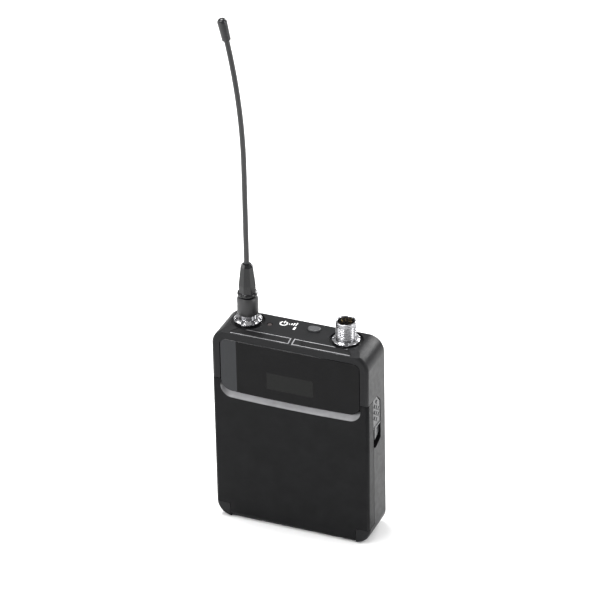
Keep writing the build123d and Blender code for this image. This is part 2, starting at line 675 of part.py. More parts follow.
# ---- microphone connector ----
with BuildPart() as connector_shell:
    add(rod(CONNECTOR_X, PORT_Y, SHELL_LOW, SHELL_TOP, SHELL_R))
    chamfer(connector_shell.edges().group_by(Axis.Z)[-1], 0.25)
    relief = rod(CONNECTOR_X, PORT_Y, RELIEF_LOW, RELIEF_HIGH, SHELL_R + 1)
    add(relief - rod(CONNECTOR_X, PORT_Y, RELIEF_LOW, RELIEF_HIGH, RELIEF_R), mode=Mode.SUBTRACT)
    add(rod(CONNECTOR_X, PORT_Y, SHELL_LOW, HEIGHT - TOP_WALL, SHELL_R + 1.3))
    add(rod(CONNECTOR_X, PORT_Y, SHELL_LOW - 1, SHELL_TOP + 1, SHELL_BORE_R), mode=Mode.SUBTRACT)
save(connector_shell.part, "connector_shell")

with BuildPart() as connector_nut:
    add(rod(CONNECTOR_X, PORT_Y, HEIGHT - RECESS_DEPTH, CONNECTOR_NUT_TOP, CONNECTOR_NUT_R))
    chamfer(connector_nut.edges().group_by(Axis.Z)[-1], 0.5, 0.8)
    add(rod(CONNECTOR_X, PORT_Y, HEIGHT - 2, HEIGHT + 2, SHELL_R + 0.02), mode=Mode.SUBTRACT)
    # spanner notches round the top
    for turn in range(25, 360, 90):
        rim = Rot(0, 0, turn) * Pos(CONNECTOR_NUT_R - 0.3, 0, 0)
        spot = Pos(CONNECTOR_X, PORT_Y, CONNECTOR_NUT_TOP) * rim
        add(spot * Box(1.6, 1.1, 1.6, mode=Mode.PRIVATE), mode=Mode.SUBTRACT)
save(connector_nut.part, "connector_nut")

with BuildPart() as connector_insert:
    add(rod(CONNECTOR_X, PORT_Y, INSERT_LOW, INSERT_TOP, SHELL_BORE_R - 0.02))
    with Locations((CONNECTOR_X, PORT_Y, (INSERT_LOW + INSERT_TOP) / 2)):
        with PolarLocations(CONTACT_RING_R, 4, start_angle=45):
            Cylinder(CONTACT_R, 10, mode=Mode.SUBTRACT)
    keyway = block(
        (CONNECTOR_X - 0.5, CONNECTOR_X + 0.5), (PORT_Y + 2.6, PORT_Y + 4), (INSERT_TOP - 2, INSERT_TOP + 1)
    )
    add(keyway, mode=Mode.SUBTRACT)
save(connector_insert.part, "connector_insert")

with BuildPart() as connector_pins:
    with Locations((CONNECTOR_X, PORT_Y, (CONTACT_LOW + CONTACT_TOP) / 2)):
        with PolarLocations(CONTACT_RING_R, 4, start_angle=45):
            Cylinder(CONTACT_R, CONTACT_TOP - CONTACT_LOW)
    chamfer(connector_pins.edges().group_by(Axis.Z)[-1], 0.2)
save(connector_pins.part, "connector_pins")

# ---- boards and keys ----
with BuildPart() as main_pcb:
    with BuildSketch(front_plane(PCB_Y + PCB_THICK)):
        with BuildLine():
            Polyline(
                (-25.2, 59.0),
                (PANEL_LEFT + 0.4, 59.0),
                (PANEL_LEFT + 0.4, PANEL_LOW),
                (25.2, PANEL_LOW),
                (25.2, 76.5),
                (-25.2, 76.5),
                close=True,
            )
        make_face()
    extrude(amount=PCB_THICK)
save(main_pcb.part, "main_pcb")

with BuildPart() as radio_shield:
    add(block((8, 24), (PCB_Y + PCB_THICK, 4.4), (26, 54)))
    fillet(radio_shield.edges().filter_by(Axis.Y), 0.8)
    add(block((8.3, 23.7), (PCB_Y, 4.1), (26.3, 53.7)), mode=Mode.SUBTRACT)
    for z in range(30, 54, 4):
        for x in range(11, 23, 3):
            add(rod_y(x, 4, 5, z, 0.6), mode=Mode.SUBTRACT)
save(radio_shield.part, "radio_shield")

with BuildPart() as key_switches:
    for z in KEY_HEIGHTS.values():
        add(block((KEY_X - 2.2, KEY_X + 2.2), (-2.4, PCB_Y), (z - 2.2, z + 2.2)))
        add(rod_y(KEY_X, -2.9, -2.4, z, 0.9))
save(key_switches.part, "key_switches")

with BuildPart() as control_panel:
    with BuildSketch(front_plane(PANEL_Y + PANEL_THICK)):
        with Locations(((PANEL_LEFT + PANEL_RIGHT) / 2, (PANEL_LOW + PANEL_HIGH) / 2)):
            RectangleRounded(PANEL_RIGHT - PANEL_LEFT, PANEL_HIGH - PANEL_LOW, 1.5)
        for z in KEY_HEIGHTS.values():
            with Locations((KEY_X, z)):
                SlotOverall(11.0, 6.0, mode=Mode.SUBTRACT)
    extrude(amount=PANEL_THICK)
    for x in (PANEL_LEFT + 2, PANEL_RIGHT - 3.5):
        for z in (PANEL_LOW + 4, PANEL_HIGH - 3):
            add(rod_y(x, PANEL_Y + PANEL_THICK - 0.1, PCB_Y, z, 1.4))
save(control_panel.part, "control_panel")

for name, z in KEY_HEIGHTS.items():
    with BuildPart() as key:
        with BuildSketch(front_plane(PANEL_Y + PANEL_THICK + 0.3)):
            with Locations((KEY_X, z)):
                SlotOverall(10.6, 5.6)
        extrude(amount=PANEL_THICK + 0.3 + 0.6)
        fillet(key.edges().group_by(Axis.Y)[0], 0.4)
        with BuildSketch(front_plane(PANEL_Y + PANEL_THICK + 1.0)):
            with Locations((KEY_X, z)):
                SlotOverall(12.4, 7.2)
        extrude(amount=0.8)
        add(rod_y(KEY_X, PANEL_Y + PANEL_THICK + 0.9, -3.3, z, 1.2))
    save(key.part, name)

# ---- batteries ----
with BuildPart() as battery_tray:
    add(block((TRAY_LEFT, TRAY_RIGHT), (TRAY_FRONT, TRAY_BACK), (TRAY_LOW, TRAY_HIGH)))
    bay = block(
        (TRAY_LEFT + TRAY_WALL, TRAY_RIGHT - TRAY_WALL),
        (TRAY_FRONT - 1, TRAY_BACK - 0.5),
        (TRAY_LOW + TRAY_END_WALL, TRAY_HIGH - TRAY_END_WALL),
    )
    add(bay, mode=Mode.SUBTRACT)
    with BuildSketch(Plane.XY.offset(TRAY_LOW + 6)):
        middle = (CELL_X[0] + CELL_X[1]) / 2
        with BuildLine():
            Polyline(
                (middle - 2.4, TRAY_BACK - 0.4),
                (middle + 2.4, TRAY_BACK - 0.4),
                (middle, 4.6),
                close=True,
            )
        make_face()
    extrude(amount=TRAY_HIGH - TRAY_LOW - 12)
save(battery_tray.part, "battery_tray")


def cell(x, low, nub_up):
    """An AA cell standing on end."""
    body_low = low if nub_up else low + CELL_NUB
    body_high = body_low + CELL_LENGTH - CELL_NUB
    body = rod(x, CELL_Y, body_low, body_high, CELL_R)
    body = fillet(body.edges().filter_by(GeomType.CIRCLE), 0.5)
    if nub_up:
        nub = rod(x, CELL_Y, body_high - 0.1, low + CELL_LENGTH, CELL_NUB_R)
    else:
        nub = rod(x, CELL_Y, low, body_low + 0.1, CELL_NUB_R)
    return body + nub


left_cell = cell(CELL_X[0], BAY_LOW + SPRING_HEIGHT, True)
right_cell = cell(CELL_X[1], BAY_LOW + CONTACT_THICK, False)

with BuildPart() as cell_left:
    add(left_cell)
save(cell_left.part, "cell_left")

with BuildPart() as cell_right:
    add(right_cell)
save(cell_right.part, "cell_right")

with BuildPart() as contact_plates:
    add(block((CELL_X[0] - 5, CELL_X[0] + 5), (-3.5, 5), (BAY_HIGH - CONTACT_THICK, BAY_HIGH)))
    add(block((CELL_X[1] - 5, CELL_X[1] + 5), (-3.5, 5), (BAY_LOW, BAY_LOW + CONTACT_THICK)))
save(contact_plates.part, "contact_plates")

for name, x, low in (
    ("battery_spring_left", CELL_X[0], BAY_LOW),
    ("battery_spring_right", CELL_X[1], BAY_HIGH - SPRING_HEIGHT),
):
    with BuildPart() as battery_spring:
        rise = SPRING_HEIGHT - 2 * SPRING_WIRE_R - 0.06
        with BuildLine():
            start = (x, CELL_Y + 0.8, low + SPRING_WIRE_R + 0.03)
            coil = Helix(pitch=rise / 2.5, height=rise, radius=2.9, center=start)
        with BuildSketch(Plane(origin=coil @ 0, z_dir=coil % 0)):
            Circle(SPRING_WIRE_R)
        sweep(is_frenet=True)
    save(battery_spring.part, name)

with BuildPart() as charging_contacts:
    for x in (-7, 7):
        add(block((x - 2.45, x + 2.45), (0.55, 3.45), (0.1, 2.6)))
save(charging_contacts.part, "charging_contacts")

# ---- belt clip ----
with BuildPart() as clip_bracket:
    add(block((-EAR_OUTER, EAR_OUTER), (BACK, BACK + 1.2), (CLIP_PIVOT_Z - 3, CLIP_PIVOT_Z + 10)))
    fillet(clip_bracket.edges().filter_by(Axis.Y), 1.2)
    for side in (-1, 1):
        with BuildSketch(side_plane(min(side * EAR_INNER, side * EAR_OUTER))):
            with Locations(((BACK + EAR_TIP_Y) / 2, CLIP_PIVOT_Z)):
                RectangleRounded(EAR_TIP_Y - BACK, 5.2, 1.5)
        extrude(amount=EAR_OUTER - EAR_INNER)
        add(rod_y(side * CLIP_SCREW_X, BACK - 1, BACK + 2, CLIP_SCREW_Z, SCREW_R + 0.1), mode=Mode.SUBTRACT)
    add(rod_x(-EAR_OUTER - 1, EAR_OUTER + 1, CLIP_PIVOT_Y, CLIP_PIVOT_Z, PIN_R), mode=Mode.SUBTRACT)
save(clip_bracket.part, "clip_bracket")

bracket_screws = [pan_screw(side * CLIP_SCREW_X, CLIP_SCREW_Z, BACK + 1.2, 3.0) for side in (-1, 1)]
with BuildPart() as clip_screws:
    add(bracket_screws)
save(clip_screws.part, "clip_screws")

with BuildPart() as clip_pin:
    add(rod_x(-EAR_OUTER, EAR_OUTER, CLIP_PIVOT_Y, CLIP_PIVOT_Z, PIN_R))
save(clip_pin.part, "clip_pin")

with BuildPart() as clip_blade:
    # side profile: thumb lever, flat run, inward pinch and flared foot, as one bent sheet
    with BuildSketch(side_plane(-CLIP_HALF)):
        with BuildLine():
            FilletPolyline(
                (BLADE_IN + 0.9, CLIP_PIVOT_Z + 7.4),
                (BLADE_IN + 0.5, CLIP_PIVOT_Z),
                (BLADE_IN + 0.5, CLIP_LOW + 12),
                (BACK + 1.1, CLIP_LOW + 4.5),
                (BLADE_IN - 0.4, CLIP_LOW),
                radius=2.2,
            )
        trace(line_width=CLIP_SHEET)
    extrude(amount=2 * CLIP_HALF)
    # sleeve that turns on the pivot pin
    add(rod_x(-CLIP_HALF, -3.2, CLIP_PIVOT_Y, CLIP_PIVOT_Z, 1.7))
    add(rod_x(3.2, CLIP_HALF, CLIP_PIVOT_Y, CLIP_PIVOT_Z, 1.7))
    add(rod_x(-CLIP_HALF - 1, CLIP_HALF + 1, CLIP_PIVOT_Y, CLIP_PIVOT_Z, PIN_BORE_R), mode=Mode.SUBTRACT)
save(clip_blade.part, "clip_blade")

with BuildPart() as clip_spring:
    with BuildLine():
        start = (-2.4, CLIP_PIVOT_Y, CLIP_PIVOT_Z)
        wind = Helix(pitch=0.8, height=4.8, radius=0.98, center=start, direction=(1, 0, 0))
    with BuildSketch(Plane(origin=wind @ 0, z_dir=wind % 0)):
        Circle(0.15)
    sweep(is_frenet=True)
save(clip_spring.part, "clip_spring")
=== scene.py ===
"""Looks of the wireless bodypack transmitter: materials, fine detail, floor, lights and camera."""
import json
import math

import bmesh
import bpy
from mathutils import Matrix, Vector


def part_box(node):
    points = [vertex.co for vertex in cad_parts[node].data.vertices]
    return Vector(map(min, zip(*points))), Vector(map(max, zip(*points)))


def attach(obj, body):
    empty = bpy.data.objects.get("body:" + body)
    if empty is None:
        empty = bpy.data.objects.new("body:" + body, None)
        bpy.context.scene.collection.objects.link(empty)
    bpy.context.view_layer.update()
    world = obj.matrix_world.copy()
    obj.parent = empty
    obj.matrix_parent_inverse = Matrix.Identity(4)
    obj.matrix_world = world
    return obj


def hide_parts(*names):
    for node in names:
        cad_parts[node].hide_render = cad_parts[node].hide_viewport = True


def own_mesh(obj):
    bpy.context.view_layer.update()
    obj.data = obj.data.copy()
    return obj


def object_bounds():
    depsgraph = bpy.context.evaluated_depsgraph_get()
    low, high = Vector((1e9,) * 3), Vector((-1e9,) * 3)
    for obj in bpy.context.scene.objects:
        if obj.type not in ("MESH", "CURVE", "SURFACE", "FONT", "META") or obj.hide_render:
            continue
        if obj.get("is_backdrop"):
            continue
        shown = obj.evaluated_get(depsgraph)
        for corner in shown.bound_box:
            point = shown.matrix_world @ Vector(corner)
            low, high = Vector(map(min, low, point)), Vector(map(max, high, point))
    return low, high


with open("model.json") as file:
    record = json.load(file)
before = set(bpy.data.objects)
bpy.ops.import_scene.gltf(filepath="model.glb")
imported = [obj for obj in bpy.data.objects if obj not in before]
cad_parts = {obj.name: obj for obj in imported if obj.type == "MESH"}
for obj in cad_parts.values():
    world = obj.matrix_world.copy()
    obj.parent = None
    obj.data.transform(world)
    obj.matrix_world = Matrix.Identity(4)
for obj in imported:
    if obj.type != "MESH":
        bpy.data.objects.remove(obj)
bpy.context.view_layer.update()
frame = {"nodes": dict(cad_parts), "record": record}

MM = 0.001
nodes = frame["nodes"]
scene = bpy.context.scene


# ---------------------------------------------------------------- materials
def new_material(name):
    """An empty material with its principled shader and output, and the object coordinates."""
    mat = bpy.data.materials.new(name)
    mat.use_nodes = True
    tree = mat.node_tree
    shader = tree.nodes["Principled BSDF"]
    coords = tree.nodes.new("ShaderNodeTexCoord").outputs["Object"]
    return mat, tree, shader, coords


def noise(tree, coords, per_mm, detail=3.0, rough=0.55, distort=0.0):
    """Noise with about per_mm features to the millimetre."""
    node = tree.nodes.new("ShaderNodeTexNoise")
    node.inputs["Scale"].default_value = per_mm / MM
    node.inputs["Detail"].default_value = detail
    node.inputs["Roughness"].default_value = rough
    node.inputs["Distortion"].default_value = distort
    tree.links.new(coords, node.inputs["Vector"])
    return node.outputs["Fac"]


def stretched(tree, coords, scale):
    """The coordinates scaled by axis, for brushed and drawn surfaces."""
    node = tree.nodes.new("ShaderNodeMapping")
    node.inputs["Scale"].default_value = scale
    tree.links.new(coords, node.inputs["Vector"])
    return node.outputs["Vector"]


def ramp(tree, value, low, high, dark, light):
    """Maps a value between low and high to a colour between dark and light."""
    node = tree.nodes.new("ShaderNodeValToRGB")
    node.color_ramp.elements[0].position = low
    node.color_ramp.elements[1].position = high
    node.color_ramp.elements[0].color = (*dark, 1)
    node.color_ramp.elements[1].color = (*light, 1)
    tree.links.new(value, node.inputs["Fac"])
    return node.outputs["Color"]


def remap(tree, value, to_low, to_high, from_low=0.3, from_high=0.7):
    """Maps a value from one range to another; the default range is where noise mostly lies."""
    node = tree.nodes.new("ShaderNodeMapRange")
    node.inputs["From Min"].default_value = from_low
    node.inputs["From Max"].default_value = from_high
    node.inputs["To Min"].default_value = to_low
    node.inputs["To Max"].default_value = to_high
    tree.links.new(value, node.inputs["Value"])
    return node.outputs["Result"]


def add_bump(tree, shader, height, depth_mm):
    """Relief up to depth_mm deep, from a height between 0 and 1."""
    node = tree.nodes.new("ShaderNodeBump")
    node.inputs["Strength"].default_value = 1.0
    node.inputs["Distance"].default_value = depth_mm * MM
    tree.links.new(height, node.inputs["Height"])
    tree.links.new(node.outputs["Normal"], shader.inputs["Normal"])


def scaled(colour, factor):
    """A lighter or darker colour."""
    return tuple(min(1.0, c * factor) for c in colour)


MOTTLE_PER_MM = 0.15       # features of the mottled colour to the millimetre
SMUDGE_FINER = 2.3         # how much finer the smudges are than the mottle
COAT_ROUGH = 0.1


def surface(name, colour, rough, metallic=0.0, spread=0.25, grain=4.0, grain_depth=0.01,
            rough_spread=0.08, level=0.5, coat=0.0):
    """A moulded, painted or plated surface: mottled colour, uneven roughness and a fine grain."""
    mat, tree, shader, coords = new_material(name)
    shader.inputs["Metallic"].default_value = metallic
    shader.inputs["Specular IOR Level"].default_value = level
    shader.inputs["Coat Weight"].default_value = coat
    shader.inputs["Coat Roughness"].default_value = COAT_ROUGH
    cloud = noise(tree, coords, MOTTLE_PER_MM, detail=5)
    tree.links.new(
        ramp(tree, cloud, 0.3, 0.72, scaled(colour, 1 - spread), scaled(colour, 1 + spread)),
        shader.inputs["Base Color"],
    )
    smudge = noise(tree, coords, MOTTLE_PER_MM * SMUDGE_FINER, detail=6, distort=0.6)
    tree.links.new(
        remap(tree, smudge, rough - rough_spread, rough + rough_spread), shader.inputs["Roughness"]
    )
    if grain_depth:
        add_bump(tree, shader, noise(tree, coords, grain, detail=2), grain_depth)
    return mat


BRUSH_PER_MM = 6.0         # brushed lines to the millimetre
BRUSH_DEPTH = 0.004        # depth of a brushed line, in millimetres
BRUSH_SPREAD = 0.18        # how far the tone varies from line to line


def brushed(name, colour, rough, direction):
    """Metal with fine lines. direction has a small scale on each axis that the lines follow."""
    mat, tree, shader, coords = new_material(name)
    shader.inputs["Metallic"].default_value = 1.0
    lines = noise(tree, stretched(tree, coords, direction), BRUSH_PER_MM, detail=4)
    tree.links.new(
        ramp(tree, lines, 0.3, 0.7, scaled(colour, 1 - BRUSH_SPREAD),
             scaled(colour, 1 + BRUSH_SPREAD)),
        shader.inputs["Base Color"],
    )
    tree.links.new(remap(tree, lines, rough - 0.07, rough + 0.09), shader.inputs["Roughness"])
    add_bump(tree, shader, lines, BRUSH_DEPTH)
    return mat


def maths(tree, operation, a, b):
    """A sum or product of two values, each a socket or a number."""
    node = tree.nodes.new("ShaderNodeMath")
    node.operation = operation
    for i, value in enumerate((a, b)):
        if isinstance(value, (int, float)):
            node.inputs[i].default_value = value
        else:
            tree.links.new(value, node.inputs[i])
    return node.outputs["Value"]


def axes(tree, coords):
    """The x, y and z sockets of the coordinates."""
    node = tree.nodes.new("ShaderNodeSeparateXYZ")
    tree.links.new(coords, node.inputs["Vector"])
    return node.outputs["X"], node.outputs["Y"], node.outputs["Z"]


def between(tree, value, low, high, soft):
    """1 between low and high, falling to 0 over soft on both sides."""
    rising = remap(tree, value, 0, 1, low - soft, low + soft)
    falling = remap(tree, value, 1, 0, high - soft, high + soft)
    return maths(tree, "MULTIPLY", rising, falling)


# the colour sockets of a Mix node, which shares its names between data types
MIX_FACTOR, MIX_BELOW, MIX_ABOVE, MIX_RESULT = 0, 6, 7, 2


def blend_colour(tree, factor, below, above):
    """Mixes two colours, each a socket or a plain colour, by a factor socket."""
    node = tree.nodes.new("ShaderNodeMix")
    node.data_type = "RGBA"
    tree.links.new(factor, node.inputs[MIX_FACTOR])
    for index, value in ((MIX_BELOW, below), (MIX_ABOVE, above)):
        socket = node.inputs[index]
        if isinstance(value, tuple):
            socket.default_value = (*value, 1)
        else:
            tree.links.new(value, socket)
    return node.outputs[MIX_RESULT]


REFLECTION_BAND_WIDTH = 6.7         # width of the lighter band at the window's left end, a painted reflection, in millimetres
FINISH_EDGE = 0.15         # softness of the display's outline, in millimetres


def window_material():
    """Smoked acrylic: black print behind it, the faint display, and a lighter band at the left end
    that is a painted reflection.
    """
    mat, tree, shader, coords = new_material("window_acrylic_and_reflection")
    shader.inputs["Specular IOR Level"].default_value = 0.09
    shader.inputs["Coat Weight"].default_value = 0.04
    shader.inputs["Coat Roughness"].default_value = 0.03
    x, _, z = axes(tree, coords)
    low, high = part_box("display_window")
    glass_low, glass_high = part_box("lcd_glass")
    cloud = noise(tree, coords, 0.12, detail=4)
    black = ramp(tree, cloud, 0.3, 0.7, (0.0016, 0.0016, 0.0018), (0.0034, 0.0034, 0.0038))
    # painted reflection: the window is lighter over a band at its left end
    painted_reflection_band = between(tree, x, low.x - 1 * MM, low.x + REFLECTION_BAND_WIDTH * MM, 0.05 * MM)
    tone = blend_colour(tree, painted_reflection_band, black, (0.030, 0.031, 0.033))
    across = between(tree, x, glass_low.x + 2 * MM, glass_high.x - 2 * MM, FINISH_EDGE * MM)
    upright = between(tree, z, glass_low.z + 1 * MM, glass_high.z - 0.5 * MM,
                      FINISH_EDGE * MM)
    display = maths(tree, "MULTIPLY", across, upright)
    tone = blend_colour(tree, display, tone, (0.0085, 0.0088, 0.0085))
    tree.links.new(tone, shader.inputs["Base Color"])
    smear = noise(tree, coords, 0.25, detail=6, distort=1.2)
    tree.links.new(remap(tree, smear, 0.045, 0.10), shader.inputs["Roughness"])
    add_bump(tree, shader, noise(tree, coords, 0.06, detail=1), 0.006)
    return mat


BEVEL_HEIGHT = 3.8         # how far the painted highlight on the bevel reaches below the window, in millimetres
BEVEL_DEPTH = 1.2          # how far back it reaches from the door's front
BEVEL_OVERRUN = 1.0        # how far it passes the window's ends


def door_material():
    """Charcoal darker than the case's, as painted shade, with a light metallic colour on the bevel
    under the window as a painted highlight.
    """
    mat, tree, shader, coords = new_material("door_shade_and_highlight")
    shader.inputs["Specular IOR Level"].default_value = 0.08
    x, y, z = axes(tree, coords)
    door_low, door_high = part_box("battery_door")
    window_low, window_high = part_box("display_window")
    deep = between(tree, y, door_low.y + 0.06 * MM, door_low.y + BEVEL_DEPTH * MM, 0.04 * MM)
    upright = between(tree, z, window_low.z - BEVEL_HEIGHT * MM, door_high.z - 0.3 * MM,
                      0.1 * MM)
    across = between(tree, x, window_low.x - BEVEL_OVERRUN * MM,
                     window_high.x + BEVEL_OVERRUN * MM, 0.1 * MM)
    # painted highlight: the mask of the bevel under the window, which is given a light metallic
    # colour
    bevel = maths(tree, "MULTIPLY", maths(tree, "MULTIPLY", deep, upright), across)
    cloud = noise(tree, coords, 0.15, detail=5)
    # painted shade: the case's charcoal darkened for the door's dark front
    shaded_paint = ramp(tree, cloud, 0.3, 0.72, scaled(CHARCOAL, 0.5), scaled(CHARCOAL, 0.8))
    highlight_satin = ramp(tree, cloud, 0.3, 0.72, (0.15, 0.15, 0.155), (0.20, 0.20, 0.205))
    tree.links.new(blend_colour(tree, bevel, shaded_paint, highlight_satin), shader.inputs["Base Color"])
    tree.links.new(maths(tree, "MULTIPLY", bevel, 0.85), shader.inputs["Metallic"])
    smudge = noise(tree, coords, 0.35, detail=6, distort=0.6)
    tree.links.new(remap(tree, smudge, 0.33, 0.43), shader.inputs["Roughness"])
    add_bump(tree, shader, noise(tree, coords, 5.0, detail=2), 0.006)
    return mat


TRIM_FRONT_LINE = 0.42     # widths of the painted highlight lines along the trim's edges, in millimetres
TRIM_REAR_LINE = 0.36
TRIM_RIB_HALF = 1.0        # half the width of the painted highlight beside the rib


def trim_material():
    """Dark trim with painted highlights: light metallic lines along its edges and beside the rib.
    """
    mat, tree, shader, coords = new_material("trim_with_painted_highlights")
    shader.inputs["Specular IOR Level"].default_value = 0.15
    x, y, _ = axes(tree, coords)
    low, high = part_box("shoulder_trim")
    inner = between(tree, y, low.y + TRIM_FRONT_LINE * MM, high.y - TRIM_REAR_LINE * MM,
                    0.04 * MM)
    rib = between(tree, x, -TRIM_RIB_HALF * MM, TRIM_RIB_HALF * MM, 0.03 * MM)
    dark = maths(tree, "MULTIPLY", inner, maths(tree, "SUBTRACT", 1.0, rib))
    # painted highlight: the light metallic lines along the edges and beside the rib
    line = maths(tree, "SUBTRACT", 1.0, dark)
    cloud = noise(tree, coords, 0.3, detail=4)
    plastic = ramp(tree, cloud, 0.3, 0.7, (0.0045, 0.0045, 0.005), (0.0065, 0.0065, 0.007))
    highlight_satin = ramp(tree, cloud, 0.3, 0.7, (0.26, 0.26, 0.27), (0.34, 0.34, 0.35))
    tree.links.new(blend_colour(tree, line, plastic, highlight_satin), shader.inputs["Base Color"])
    tree.links.new(maths(tree, "MULTIPLY", line, 0.9), shader.inputs["Metallic"])
    tree.links.new(remap(tree, cloud, 0.26, 0.34), shader.inputs["Roughness"])
    add_bump(tree, shader, noise(tree, coords, 4.0, detail=2), 0.002)
    return mat


def board_material():
    """Solder mask with copper tracks showing through."""
    mat, tree, shader, coords = new_material("circuit_board")
    brick = tree.nodes.new("ShaderNodeTexBrick")
    brick.inputs["Scale"].default_value = 260
    brick.inputs["Mortar Size"].default_value = 0.02
    brick.inputs["Color1"].default_value = (0.008, 0.07, 0.03, 1)
    brick.inputs["Color2"].default_value = (0.006, 0.05, 0.022, 1)
    brick.inputs["Mortar"].default_value = (0.02, 0.16, 0.05, 1)
    tree.links.new(coords, brick.inputs["Vector"])
    tree.links.new(brick.outputs["Color"], shader.inputs["Base Color"])
    tree.links.new(remap(tree, noise(tree, coords, 1.0), 0.25, 0.4), shader.inputs["Roughness"])
    add_bump(tree, shader, brick.outputs["Fac"], 0.02)
    return mat


WRAP_FLAT_END = 0.6        # bare metal at a cell's flat end and at its nub, in millimetres
WRAP_NUB_END = 2.2
BAND_SHARE = 0.3           # the pale band's share of a cell's length


def cell_material(name, nub_up):
    """A plain two-tone battery wrap with a bare metal end at the positive nub."""
    mat, tree, shader, coords = new_material(name)
    _, _, z = axes(tree, coords)
    low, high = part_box(name)
    length = high.z - low.z
    if nub_up:
        wrap = between(tree, z, low.z + WRAP_FLAT_END * MM, high.z - WRAP_NUB_END * MM, 0.05 * MM)
        band = between(tree, z, high.z - BAND_SHARE * length, high.z, 0.05 * MM)
    else:
        wrap = between(tree, z, low.z + WRAP_NUB_END * MM, high.z - WRAP_FLAT_END * MM, 0.05 * MM)
        band = between(tree, z, low.z, low.z + BAND_SHARE * length, 0.05 * MM)
    speck = noise(tree, coords, 0.8, detail=3)
    dark = ramp(tree, speck, 0.3, 0.7, (0.012, 0.032, 0.075), (0.018, 0.045, 0.10))
    pale = ramp(tree, speck, 0.3, 0.7, (0.36, 0.38, 0.40), (0.44, 0.46, 0.48))
    printed = blend_colour(tree, band, dark, pale)
    bare = (0.6, 0.6, 0.62)
    tree.links.new(blend_colour(tree, wrap, bare, printed), shader.inputs["Base Color"])
    metallic = maths(tree, "SUBTRACT", 1.0, maths(tree, "MULTIPLY", wrap, 0.65))
    tree.links.new(metallic, shader.inputs["Metallic"])
    tree.links.new(remap(tree, speck, 0.22, 0.36), shader.inputs["Roughness"])
    return mat


CHARCOAL = (0.0085, 0.0087, 0.0094)
case_paint = surface("case_paint", CHARCOAL, 0.36, spread=0.14, grain=5.0, grain_depth=0.006,
                     rough_spread=0.05, level=0.13)
door_shade_and_highlight = door_material()
catch_plastic = surface("catch_plastic", (0.035, 0.036, 0.038), 0.33, grain=6.0,
                        grain_depth=0.006)
trim_with_painted_highlights = trim_material()
boot_plastic = surface("boot_plastic", (0.005, 0.005, 0.0055), 0.15, spread=0.2, grain=2.0,
                       grain_depth=0.001, rough_spread=0.03, level=0.35)
sleeve_plastic = surface("sleeve_plastic", (0.012, 0.012, 0.013), 0.46, grain=7.0,
                         grain_depth=0.012)
whip_rubber = surface("whip_rubber", (0.011, 0.011, 0.012), 0.38, grain=4.0, grain_depth=0.008)
tip_rubber = surface("tip_rubber", (0.008, 0.008, 0.009), 0.22, grain=3.0, grain_depth=0.004)
insert_plastic = surface("insert_plastic", (0.004, 0.004, 0.004), 0.6, grain=5.0, level=0.1)
button_rubber = surface("button_rubber", (0.035, 0.036, 0.039), 0.5, grain=7.0,
                        grain_depth=0.012)
key_rubber = surface("key_rubber", (0.16, 0.165, 0.17), 0.55, grain=7.0, grain_depth=0.012)
panel_plastic = surface("panel_plastic", (0.022, 0.022, 0.024), 0.5, grain=5.0,
                        grain_depth=0.02)
tray_plastic = surface("tray_plastic", (0.014, 0.014, 0.015), 0.45, grain=5.0, grain_depth=0.015)
gasket_foam = surface("gasket_foam", (0.01, 0.01, 0.01), 0.8, grain=3.0, grain_depth=0.05)
clip_coat = surface("clip_coat", (0.014, 0.014, 0.015), 0.33, metallic=0.5, grain=4.0,
                    grain_depth=0.006, rough_spread=0.06)
screw_black = surface("screw_black", (0.05, 0.05, 0.052), 0.35, metallic=0.9, grain=4.0,
                      grain_depth=0.004)
lens_smoke = surface("lens_smoke", (0.035, 0.022, 0.022), 0.15, grain=1.0, grain_depth=0.0,
                     coat=0.5)
lcd_film = surface("lcd_film", (0.10, 0.115, 0.095), 0.2, grain=1.0, grain_depth=0.002)
label_film = surface("label_film", (0.05, 0.051, 0.054), 0.55, spread=0.08, grain=6.0,
                     grain_depth=0.004)
white_ink = surface("white_ink", (0.72, 0.72, 0.72), 0.5, spread=0.04, grain=6.0,
                    grain_depth=0.004)
chrome = surface("chrome_plate", (0.40, 0.40, 0.412), 0.15, metallic=1.0, spread=0.06, grain=1.5,
                 grain_depth=0.003, rough_spread=0.04)
turned_steel = brushed("turned_steel", (0.33, 0.33, 0.34), 0.24, (0.12, 0.12, 1.0))
plain_steel = brushed("plain_steel", (0.5, 0.5, 0.51), 0.3, (0.1, 1.0, 1.0))
tinned = surface("tinned_steel", (0.5, 0.5, 0.5), 0.34, metallic=1.0, grain=2.0, grain_depth=0.01)
gold = surface("gold_plate", (0.45, 0.32, 0.13), 0.3, metallic=1.0, spread=0.08, grain=3.0,
               grain_depth=0.004)
window_acrylic_and_reflection = window_material()
circuit_board = board_material()

